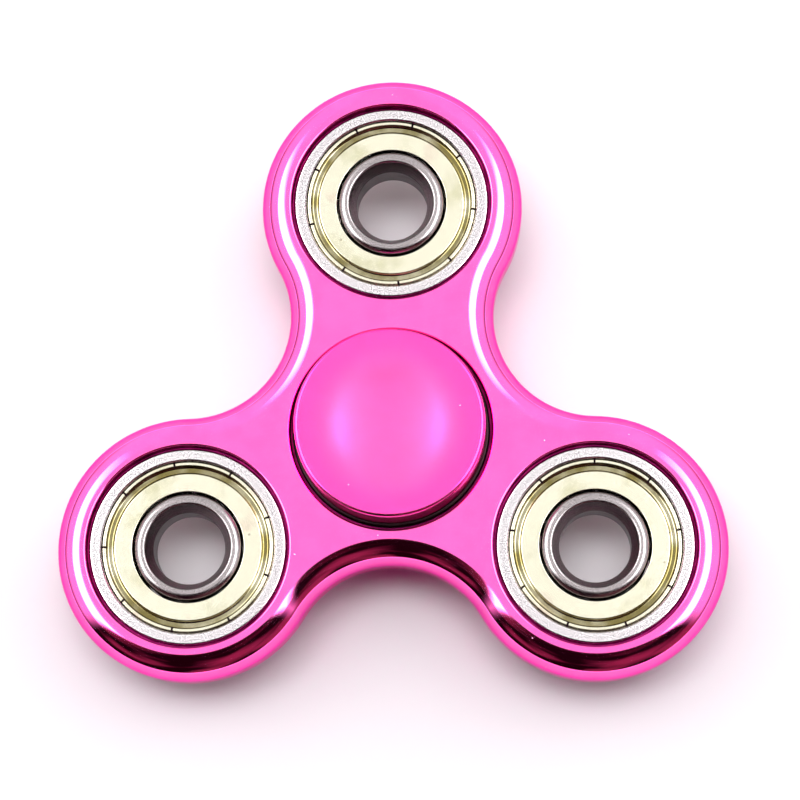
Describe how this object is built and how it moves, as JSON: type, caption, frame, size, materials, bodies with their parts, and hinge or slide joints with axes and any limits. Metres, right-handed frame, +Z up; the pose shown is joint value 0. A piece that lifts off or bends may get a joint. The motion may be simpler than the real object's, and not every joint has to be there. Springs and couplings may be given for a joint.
{
  "type": "fidget spinner",
  "caption": "Trefoil hand spinner: a plated body turns on a central ball bearing between round thumb caps, with a shielded ball bearing as a weight in each lobe.",
  "frame": {"origin": "where the spin axis meets the lower cap's resting face", "axes": "+Z up along the spin axis to the upper cap, +Y through the middle of lobe 1, +X to the right seen from above"},
  "size_m": [0.0746, 0.0684, 0.0162],
  "materials": {
    "plated_pink": "mirror-bright pink metallised plating over moulded ABS",
    "cap_pink": "mirror-bright pink metallised plating over moulded ABS",
    "bearing_ring": "ground bearing steel",
    "shield": "pressed sheet steel with pale yellow zinc plating",
    "cage": "pressed steel ribbon",
    "ball": "polished bearing steel"
  },
  "bodies": {
    "hub": {"center_inner_ring": "bearing_ring", "upper_cap": "cap_pink", "lower_cap": "cap_pink"},
    "rotor": {"body_frame": "plated_pink", "center_outer_ring": "bearing_ring", "center_upper_shield": "shield", "center_lower_shield": "shield", "weight_1_outer_ring": "bearing_ring", "weight_1_upper_shield": "shield", "weight_1_lower_shield": "shield", "weight_2_outer_ring": "bearing_ring", "weight_2_upper_shield": "shield", "weight_2_lower_shield": "shield", "weight_3_outer_ring": "bearing_ring", "weight_3_upper_shield": "shield", "weight_3_lower_shield": "shield"},
    "center_cage": {"center_upper_cage": "cage", "center_lower_cage": "cage", "center_balls": "ball", "center_cage_rivets": "cage"},
    "weight_1_inner": {"weight_1_inner_ring": "bearing_ring"},
    "weight_1_cage": {"weight_1_upper_cage": "cage", "weight_1_lower_cage": "cage", "weight_1_balls": "ball", "weight_1_cage_rivets": "cage"},
    "weight_2_inner": {"weight_2_inner_ring": "bearing_ring"},
    "weight_2_cage": {"weight_2_upper_cage": "cage", "weight_2_lower_cage": "cage", "weight_2_balls": "ball", "weight_2_cage_rivets": "cage"},
    "weight_3_inner": {"weight_3_inner_ring": "bearing_ring"},
    "weight_3_cage": {"weight_3_upper_cage": "cage", "weight_3_lower_cage": "cage", "weight_3_balls": "ball", "weight_3_cage_rivets": "cage"}
  },
  "joints": [
    {"name": "rotor_spin", "type": "hinge", "parent": "hub", "child": "rotor", "pos_m": [0, 0, 0.0081], "axis": [0, 0, 1], "continuous": true},
    {"name": "center_cage_spin", "type": "hinge", "parent": "hub", "child": "center_cage", "pos_m": [0, 0, 0.0081], "axis": [0, 0, 1], "continuous": true},
    {"name": "weight_1_inner_spin", "type": "hinge", "parent": "rotor", "child": "weight_1_inner", "pos_m": [0, 0.026, 0.0081], "axis": [0, 0, 1], "continuous": true},
    {"name": "weight_1_cage_spin", "type": "hinge", "parent": "rotor", "child": "weight_1_cage", "pos_m": [0, 0.026, 0.0081], "axis": [0, 0, 1], "continuous": true},
    {"name": "weight_2_inner_spin", "type": "hinge", "parent": "rotor", "child": "weight_2_inner", "pos_m": [-0.02252, -0.013, 0.0081], "axis": [0, 0, 1], "continuous": true},
    {"name": "weight_2_cage_spin", "type": "hinge", "parent": "rotor", "child": "weight_2_cage", "pos_m": [-0.02252, -0.013, 0.0081], "axis": [0, 0, 1], "continuous": true},
    {"name": "weight_3_inner_spin", "type": "hinge", "parent": "rotor", "child": "weight_3_inner", "pos_m": [0.02252, -0.013, 0.0081], "axis": [0, 0, 1], "continuous": true},
    {"name": "weight_3_cage_spin", "type": "hinge", "parent": "rotor", "child": "weight_3_cage", "pos_m": [0.02252, -0.013, 0.0081], "axis": [0, 0, 1], "continuous": true}
  ],
  "couplings": [
    {"joint": "center_cage_spin", "follows": "rotor_spin", "ratio": 0.63229},
    {"joint": "weight_1_cage_spin", "follows": "weight_1_inner_spin", "ratio": 0.36771},
    {"joint": "weight_2_cage_spin", "follows": "weight_2_inner_spin", "ratio": 0.36771},
    {"joint": "weight_3_cage_spin", "follows": "weight_3_inner_spin", "ratio": 0.36771}
  ]
}
